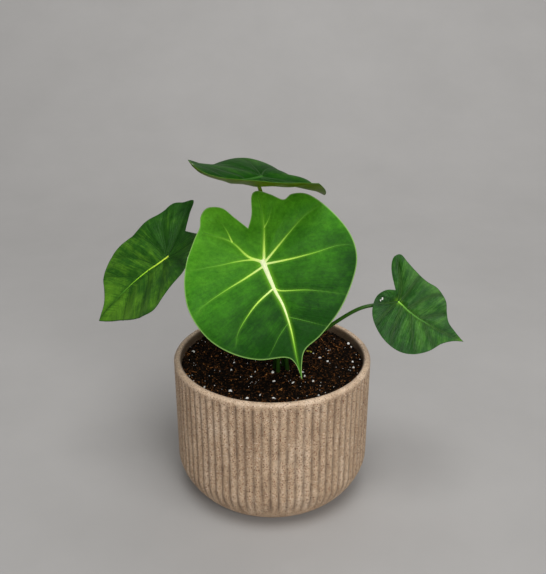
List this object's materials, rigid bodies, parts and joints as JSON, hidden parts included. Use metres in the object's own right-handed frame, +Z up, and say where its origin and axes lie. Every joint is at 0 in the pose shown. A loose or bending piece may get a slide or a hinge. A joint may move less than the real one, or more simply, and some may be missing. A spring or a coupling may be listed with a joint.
{
  "type": "potted alocasia",
  "caption": "Young elephant-ear plant with heart-shaped leaves on slender stalks, growing in a round ribbed stoneware planter filled with potting mix.",
  "frame": {"origin": "centre of the pot's flat underside, on the surface that the pot stands on", "axes": "+Z up along the pot's axis; -Y towards the plant's best side, which the large front leaf faces; +X to the right seen from there"},
  "size_m": [0.2492, 0.14, 0.2588],
  "materials": {
    "stoneware": "matt unglazed beige-brown stoneware with fine dark and rust-coloured speckles",
    "potting_mix": "moist dark peat and bark with white perlite grains",
    "corm_bark": "rough brown fibrous skin",
    "stalk_green": "smooth satin green stalk",
    "leaf_light": "satin mid-green leaf with pale lime veins and a pale rim",
    "leaf_dark": "satin dark green leaf with paler mottling and a lime midrib"
  },
  "bodies": {
    "root": {"pot": "stoneware", "soil": "potting_mix", "corm": "corm_bark", "petiole_front": "stalk_green", "petiole_left": "stalk_green", "petiole_top": "stalk_green", "petiole_right": "stalk_green", "blade_front": "leaf_light", "blade_left": "leaf_dark", "blade_top": "leaf_dark", "blade_right": "leaf_dark"}
  },
  "joints": []
}
